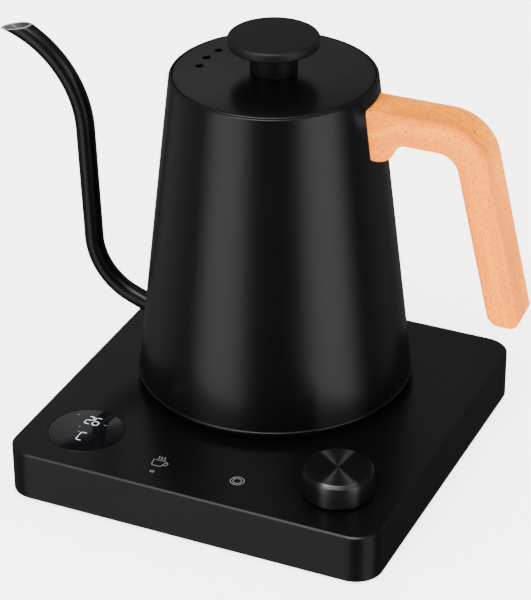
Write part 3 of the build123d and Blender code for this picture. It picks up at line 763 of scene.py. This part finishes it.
def handle_sides():
    """Outer and inner side of the handle, from the body to the middle of its end, matched point by point.

    Each side is divided at its own marks (past the block, before the bend, after the bend, before the end),
    and has the same count of points between them as the other."""
    outer = soft_line([
        (cone_radius(wood_top_z) - wood_seat, arm_top(cone_radius(wood_top_z)), 0),
        (wood_reach, arm_top(wood_reach), outer_bend), (outer_end_x, end_z, outer_end), (end_x, end_z, 0)],
        closed=False, steps=48)
    inner = soft_line([
        (cone_radius(block_z) - wood_seat, block_z, 0), (block_x, block_z, block_round),
        (block_top_x, arm_top(block_top_x) - wood_arm, block_fillet), (inner_x, inner_z, inner_bend),
        (inner_end_x, end_z, inner_end), (end_x, end_z, 0)], closed=False, steps=48)
    past_block, near_end = 17.0, end_z + 7.5
    outer_run_up, outer_run_out = 18.6, 17.0
    inner_run_up, inner_run_out = 8.0, 6.5
    block_clear, bend_clear = 3.0, 5.0

    def length_to(line, passed):
        return lengths_along(line)[np.argmax(passed(*line.T))]

    outer_marks = [0, past_block,
                   length_to(outer, lambda x, z: x > wood_reach - outer_run_up),
                   length_to(outer, lambda x, z: z < arm_top(wood_reach) - outer_run_out),
                   length_to(outer, lambda x, z: z < near_end)]
    inner_marks = [0, length_to(inner, lambda x, z: x > block_top_x + block_clear),
                   length_to(inner, lambda x, z: x > inner_x - inner_run_up),
                   length_to(inner, lambda x, z: (z < inner_z - inner_run_out) & (x > inner_x - bend_clear)),
                   length_to(inner, lambda x, z: (z < near_end) & (x > inner_x))]
    counts = (30, 16, 56, 50, 30)
    matched = []
    for line, marks in ((outer, outer_marks), (inner, inner_marks)):
        marks = marks + [lengths_along(line)[-1]]
        spread = [np.linspace(a, b, n, endpoint=False) for a, b, n in zip(marks, marks[1:], counts)]
        matched.append(points_at(line, np.append(np.concatenate(spread), marks[-1])))
    return matched


def handle_piece():
    """At each station along the handle a rounded oblong joins its outer and its inner side.

    Round each edge the oblong draws in by edge (1 - sin a) while it rises by edge (1 - cos a)."""
    outer, inner = handle_sides()
    outer_normal, inner_normal = left_of(outer), -left_of(inner)
    outer_normal[-1] = inner_normal[-1] = (0, -1)
    outer_in, inner_in = outer - wood_edge * outer_normal, inner - wood_edge * inner_normal
    half = wood_width / 2
    a = np.linspace(0, math.pi / 2, 7)
    draw, rise = wood_edge * (1 - np.sin(a)), wood_edge * (1 - np.cos(a))
    flat_y = np.linspace(-half + wood_edge, half - wood_edge, 6)[1:-1]
    across = np.linspace(0, 1, 9)[1:-1]
    rings = [(outer - d * outer_normal, -half + r) for d, r in zip(draw, rise)]
    rings += [(outer, y) for y in flat_y]
    rings += [(outer - d * outer_normal, half - r) for d, r in zip(draw[::-1], rise[::-1])]
    rings += [(outer_in + share * (inner_in - outer_in), half) for share in across]
    rings += [(inner - d * inner_normal, half - r) for d, r in zip(draw, rise)]
    rings += [(inner, y) for y in flat_y[::-1]]
    rings += [(inner - d * inner_normal, -half + r) for d, r in zip(draw[::-1], rise[::-1])]
    rings += [(outer_in + share * (inner_in - outer_in), -half) for share in across[::-1]]
    grid = np.stack([np.column_stack([at[:, 0], np.full(len(at), y), at[:, 1]]) for at, y in rings], 1)
    on_body = cone_radius(grid[0, :, 2]) - wood_seat
    grid[0, :, 0] = np.sqrt(on_body ** 2 - grid[0, :, 1] ** 2)
    mid = (outer + inner) / 2
    along = lengths_along(mid)
    toward_outer = unit(outer - inner + 1e-6)
    offset = ((grid[..., (0, 2)] - mid[:, None]) * toward_outer[:, None]).sum(-1)
    grain = np.stack([along[:, None] + 0 * offset, offset, grid[..., 1]], -1)
    grid, grain = (np.concatenate([np.repeat(one[:1].mean(1, keepdims=True), one.shape[1], 1), one])
                   for one in (grid, grain))
    return piece("handle_wood", [(grid, False, True)], about=axis, turn=kettle_turn,
                 marks={"grain": grain.reshape(-1, 3) * mm}, sharp=50)


handle = stands_for(handle_piece(), "kettle", "wooden_handle", "beech")
handle.visible_glossy = False

# ---------------------------------------------------------------- dial


def dial_piece():
    """Turned cap: flat top, chamfer, straight side, and a hollow with a hub round the encoder's shaft."""
    top = dial_high[2]
    inner_radius = dial_radius - dial_wall
    web_z = dial_hub_z + dial_web
    face_round, chamfer_round, foot_round, hollow_round = 0.15, 0.3, 0.25, 0.2
    section = soft_line([
        (0, top, 0), (dial_radius - dial_chamfer, top, face_round),
        (dial_radius, top - dial_chamfer, chamfer_round), (dial_radius, dial_low[2], foot_round),
        (inner_radius, dial_low[2], hollow_round), (inner_radius, web_z, 0),
        (hub_radius, web_z, 0), (hub_radius, dial_hub_z, 0), (hub_bore, dial_hub_z, 0),
        (hub_bore, shaft_top_z + shaft_gap, 0), (0, shaft_top_z + shaft_gap, 0)], closed=False, steps=5)
    return piece("dial_cap", [(turned(section, 160), True, False)], about=dial_middle[:2], sharp=20)


stands_for(dial_piece(), "dial", "dial_knob", "brushed_dial")

# ---------------------------------------------------------------- window and figures


def crowned(radius, height):
    """Height of the window's face, which is a shallow bowl upside down."""
    return height + lens_crown * (1 - (radius / lens_radius) ** 2)


def window_piece():
    """Turned disc: flat underside, rounded edge, crowned face."""
    flat_radius = lens_radius - lens_edge
    edge = soft_line([(0, lens_low[2], 0), (lens_radius, lens_low[2], 0),
                      (lens_radius, lens_high[2], lens_edge_round), (flat_radius, lens_high[2], 0)],
                     closed=False)
    way = np.linspace(1, 0, 20)[1:, None] * flat_radius
    section = np.concatenate([edge, np.concatenate([way, crowned(way, lens_high[2])], 1)])
    return piece("display_window", [(turned(section, 128), True, False)], about=lens_middle[:2], sharp=40)


def bar(start, end):
    """Straight bar of a printed figure, as one open line."""
    return resampled(np.array([start, end]), 4), False


bars = {"a": ((-1, 1), (1, 1)), "b": ((1, 1), (1, 0)), "c": ((1, 0), (1, -1)), "d": ((-1, -1), (1, -1)),
        "e": ((-1, 0), (-1, -1)), "f": ((-1, 1), (-1, 0)), "g": ((-1, 0), (1, 0))}


def figure(lit_bars, x, y):
    """Seven-bar figure: each lit bar is a short line, drawn in a little from its corners."""
    lines = []
    for name in lit_bars:
        start, end = np.array(bars[name]) * (figure_width / 2, figure_height / 2) + (x, y)
        inset = unit(end - start) * figure_gap
        lines.append(bar(start + inset, end - inset))
    return lines


def circle(radius, x=0, y=0, count=48, squash=1.0):
    t = np.linspace(0, full_turn, count, endpoint=False)
    return np.stack([x + radius * np.cos(t), y + squash * radius * np.sin(t)], 1)


def printed(made):
    """A print rides on the base and stands for no part."""
    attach(made, "base")


stands_for(window_piece(), "base", "display_lens", "gloss_lens")

# ---------------------------------------------------------------- prints on the window and the keys


def lit_figures():
    """Cool white figures that glow a little unevenly."""
    made = Finish("lit_figures", (0.6, 0.75, 0.8), 0.4, Emission_Strength=0.5)
    glimmer = made.noise(made.stretched(made.place(), (900,) * 3))
    made.feed("Emission Color", made.blend(glimmer, (0.5, 0.7, 0.8), (0.7, 0.86, 0.9)))
    return made.material


lens_top = lens_high[2]
figures = figure("abged", -2.5, 8.0) + figure("afgedc", 1.4, 8.0) + figure("afed", 0.4, -5.8)
dash_places = ((-9.5, 10.4), (-4.2, 1.3), (-2.6, -2.8), (6.4, 6.8))
dashes = [bar((x - dash_half, y), (x + dash_half, y)) for x, y in dash_places]
dim_ink = coat("dim_marks", (0.14, 0.14, 0.16), roughness=0.5, grain=2200, depth=1e-6, spread=0.06)
key_ink = coat("key_ink", (0.2, 0.2, 0.2), roughness=0.5, grain=2200, depth=1e-6, spread=0.06)
printed(ribbons("lit_digits", figures, figure_stroke, lens_top, lit_figures(), lens_middle[:2], crowned))
printed(ribbons("dim_digits", dashes, dash_stroke, lens_top, dim_ink, lens_middle[:2], crowned))

cup_rim_y, cup_foot_y = 0.7, -3.7
cup = soft_line([(-3.5, cup_rim_y, 0), (-2.7, cup_foot_y, 0.8), (2.1, cup_foot_y, 0.8), (2.9, cup_rim_y, 0)])
ear = soft_line([(2.8, 0.1, 0), (4.5, 0.1, 0.8), (3.9, -2.2, 0.8), (2.4, -2.2, 0)], closed=False)


def steam(x, count=16):
    """One wavy line: x swings by steam_sway through a full sine wave as it rises."""
    return np.stack([x + steam_sway * np.sin(np.linspace(0, full_turn, count)),
                     np.linspace(steam_low, steam_high, count)], 1)


ring_at = (key_high[0] - key_radius, key_y)
cup_at = (key_low[0] + key_radius, key_y)
key_marks = {
    "ring_key": (ring_at, [(circle(radius), True) for radius in ring_radii]),
    "cup_key": (cup_at, [(cup, True), (resampled(ear, 16), False)]
                + [(steam(x), False) for x in (-1.7, -0.3, 1.1)]),
    "key_dot": (cup_at, [(circle(1.0, 0.1, -8.56, count=20, squash=0.6), True)]),
}
for name, (at, lines) in key_marks.items():
    printed(ribbons(name, lines, key_stroke, base_top, key_ink, at))

# ---------------------------------------------------------------- floor
floor_half = 6000.0
floor_edges = (-floor_half, floor_half)


def pale_floor():
    """Even pale floor that glows, so that it stays pale under soft light."""
    made = Finish("pale_floor", (0.94, 0.94, 0.94), 0.9, Specular_IOR_Level=0.0, Emission_Strength=3.4)
    drift = made.noise(made.stretched(made.place(), (2, 2, 2)))
    made.feed("Emission Color", made.blend(drift, (0.98, 0.98, 0.98), (1, 1, 1)))
    return made.material


floor_grid = np.array([[(x, y, 0.0) for x in floor_edges] for y in floor_edges])
floor = piece("floor", [(floor_grid, False, False)], pale_floor())
if floor.data.polygons[0].normal.z < 0:
    floor.data.flip_normals()
floor.visible_glossy = False

# ---------------------------------------------------------------- view
view_turn, view_tilt, view_roll = math.radians(24.5687), math.radians(30.2177), math.radians(-0.408)
view_distance = 1.15
view_aim = (0.0170, -0.0374, 0.0999)
view_lens, view_sensor = 153.63, 36
facing = Vector((math.sin(view_turn), -math.cos(view_turn), 0))
sideways = Vector((math.cos(view_turn), math.sin(view_turn), 0))


def viewing_camera():
    """Camera at a distance from a point over the base, turned, tilted and rolled a little."""
    back = facing * math.cos(view_tilt) + Vector((0, 0, math.sin(view_tilt)))
    up = back.cross(sideways)
    rolled = (math.cos(view_roll) * sideways + math.sin(view_roll) * up,
              math.cos(view_roll) * up - math.sin(view_roll) * sideways)
    pose = Matrix((*rolled, back)).transposed().to_4x4()
    pose.translation = Vector((*base_middle[:2], base_low[2])) * mm + Vector(view_aim) + back * view_distance
    data = bpy.data.cameras.new("camera")
    data.lens = view_lens
    data.sensor_width = view_sensor
    made = bpy.data.objects.new("camera", data)
    made.matrix_world = pose
    bpy.context.scene.collection.objects.link(made)
    return made


# ---------------------------------------------------------------- light
# Soft boxes that glossy surfaces mirror: bearing from the viewer, half width (degrees), power.
mirrored_boxes = {
    "front left": (-48, 22, 1.5), "front right": (48, 23, 1.55),
    "left": (-108, 24, 0.22), "right": (108, 16, 0.12),
    "back, on its left": (180, 62, 0.17), "back, on its right": (-180, 62, 0.17),
}
dim_room = 0.012

# Lamps for matt surfaces, not mirrored: bearing, tilt (degrees), power (watts).
matt_lamps = {"front_left": (-38, 30, 32), "front_right": (42, 34, 26), "above": (170, 70, 24)}
matt_lamp_distance = 1.8
matt_lamp_sizes = {"front_left": 1.4, "front_right": 1.4, "above": 1.6}


def studio():
    """Dark room with soft boxes, drawn by the bearing and the height at which a direction points."""
    world = bpy.data.worlds.new("studio")
    bpy.context.scene.world = world
    world.use_nodes = True
    sky = Finish("studio", tree=world.node_tree)
    look = sky.node("ShaderNodeTexCoord").outputs["Generated"]

    def along(direction):
        made = sky.node("ShaderNodeVectorMath", {"operation": "DOT_PRODUCT"}, _0=look, _1=tuple(direction))
        return Number(sky, made.outputs["Value"])

    across = along(sideways)
    height = along((0, 0, 1))
    bearing = sky.maths("ARCTAN2", across, along(facing))

    def box_of_light(centre, half_width, power):
        """Even in the middle, with soft sides."""
        return power * sky.bell((bearing - math.radians(centre)) / math.radians(half_width), power=4)

    boxes = dim_room
    for centre, half_width, power in mirrored_boxes.values():
        boxes = boxes + box_of_light(centre, half_width, power)
    boxes = boxes * sky.step(height, -0.6, -0.3, 0.22, 1.0) * sky.step(height, 0.52, 0.62, 1.0, 0.12)
    ceiling = sky.step(height, 0.6, 0.95, 0.0, 0.45)
    strip = box_of_light(-32, 46, 7.0) * sky.step(height, 0.7, 0.8) * sky.step(height, 0.93, 0.98, 1.0, 0.0)
    slanted_edge = sky.step(height + 0.75 * across, 0.49, 0.53, 1.0, 0.0)
    window = (box_of_light(180, 11, 0.42) + box_of_light(-180, 11, 0.42)) * sky.step(height, 0.38, 0.44)
    backdrop = world.node_tree.nodes["Background"]
    sky.put(backdrop.inputs["Color"], (1, 1, 1, 1))
    sky.put(backdrop.inputs["Strength"], boxes + ceiling + strip + window * slanted_edge)


def matt_lamp(name, bearing, tilt, power):
    """Round lamp that points at the middle of the scene and isn't seen or mirrored."""
    data = bpy.data.lights.new(name, "AREA")
    data.shape, data.size, data.energy = "DISK", matt_lamp_sizes[name], power
    made = bpy.data.objects.new(name, data)
    a, e = math.radians(bearing), math.radians(tilt)
    out = (facing * (math.cos(a) * math.cos(e)) + sideways * (math.sin(a) * math.cos(e))
           + Vector((0, 0, math.sin(e))))
    made.location = out * matt_lamp_distance
    made.rotation_euler = out.to_track_quat("Z", "Y").to_euler()
    made.visible_glossy = False
    made.visible_camera = False
    bpy.context.scene.collection.objects.link(made)


studio()
for name, (bearing, tilt, power) in matt_lamps.items():
    matt_lamp(name, bearing, tilt, power)
bpy.context.scene.camera = viewing_camera()
